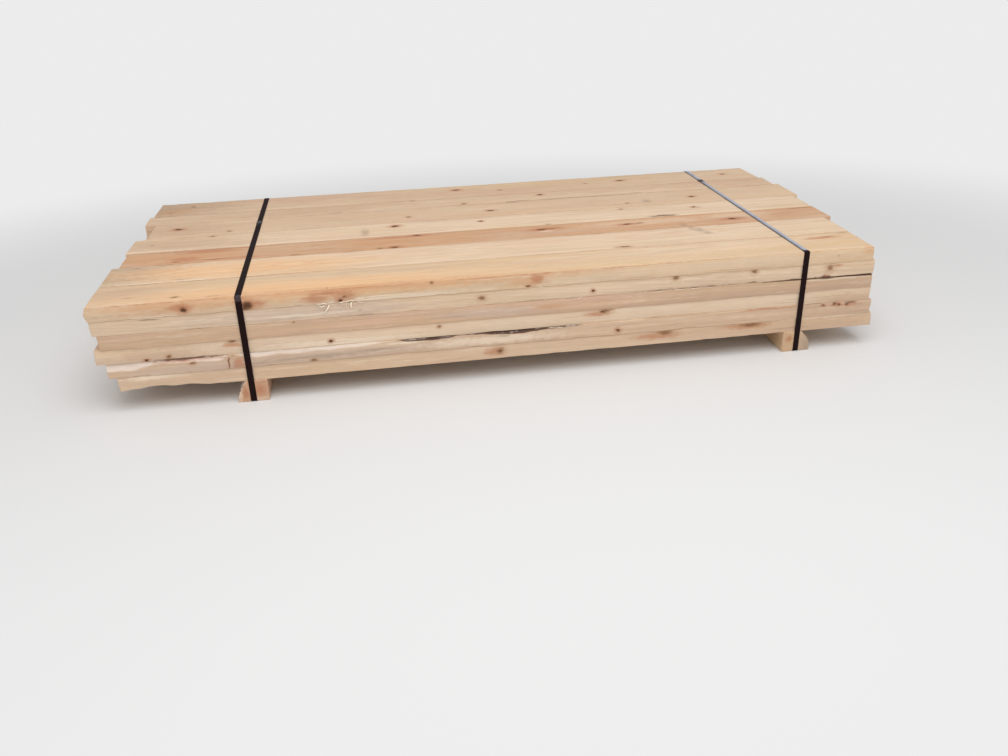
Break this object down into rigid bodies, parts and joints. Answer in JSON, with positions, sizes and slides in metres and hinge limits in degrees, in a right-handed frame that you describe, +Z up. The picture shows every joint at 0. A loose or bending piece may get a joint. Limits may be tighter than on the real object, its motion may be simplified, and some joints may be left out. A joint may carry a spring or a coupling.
{
  "type": "strapped stack of lumber",
  "caption": "Stack of rough-sawn boards in flush courses on two bearers, tied over each bearer by a steel strap with a crimped seal.",
  "frame": {"origin": "middle of the stack's length and width, on the floor that the bearers stand on", "axes": "+X along the boards, towards the right end of the front face; +Y from the front face to the back face; +Z up"},
  "size_m": [2.495, 1.146, 0.3488],
  "materials": {
    "sapwood": "rough-sawn pale softwood",
    "heartwood": "rough-sawn orange-brown heartwood",
    "bearer": "rough-sawn, with a round waney corner",
    "strap": "glossy black",
    "seal": "dull grey, crimped"
  },
  "bodies": {
    "root": {"course_1_board_1": "sapwood", "course_1_board_2": "sapwood", "course_1_board_3": "sapwood", "course_1_board_4": "sapwood", "course_1_board_5": "sapwood", "course_1_board_6": "sapwood", "course_1_board_7": "sapwood", "course_2_board_1": "sapwood", "course_2_board_2": "sapwood", "course_2_board_3": "sapwood", "course_2_board_4": "sapwood", "course_2_board_5": "sapwood", "course_2_board_6": "sapwood", "course_2_board_7": "sapwood", "course_3_board_1": "sapwood", "course_3_board_2": "heartwood", "course_3_board_3": "sapwood", "course_3_board_4": "sapwood", "course_3_board_5": "sapwood", "course_3_board_6": "sapwood", "course_3_board_7": "sapwood", "course_4_board_1": "sapwood", "course_4_board_2": "sapwood", "course_4_board_3": "sapwood", "course_4_board_4": "sapwood", "course_4_board_5": "sapwood", "course_4_board_6": "sapwood", "course_4_board_7": "sapwood", "course_5_board_1": "sapwood", "course_5_board_2": "sapwood", "course_5_board_3": "sapwood", "course_5_board_4": "heartwood", "course_5_board_5": "sapwood", "course_5_board_6": "sapwood", "course_5_board_7": "sapwood", "course_6_board_1": "sapwood", "course_6_board_2": "sapwood", "course_6_board_3": "heartwood", "course_6_board_4": "sapwood", "course_6_board_5": "sapwood", "course_6_board_6": "sapwood", "course_6_board_7": "sapwood", "left_bearer": "bearer", "right_bearer": "bearer", "left_strap": "strap", "right_strap": "strap", "left_seal": "seal", "right_seal": "seal"}
  },
  "joints": []
}
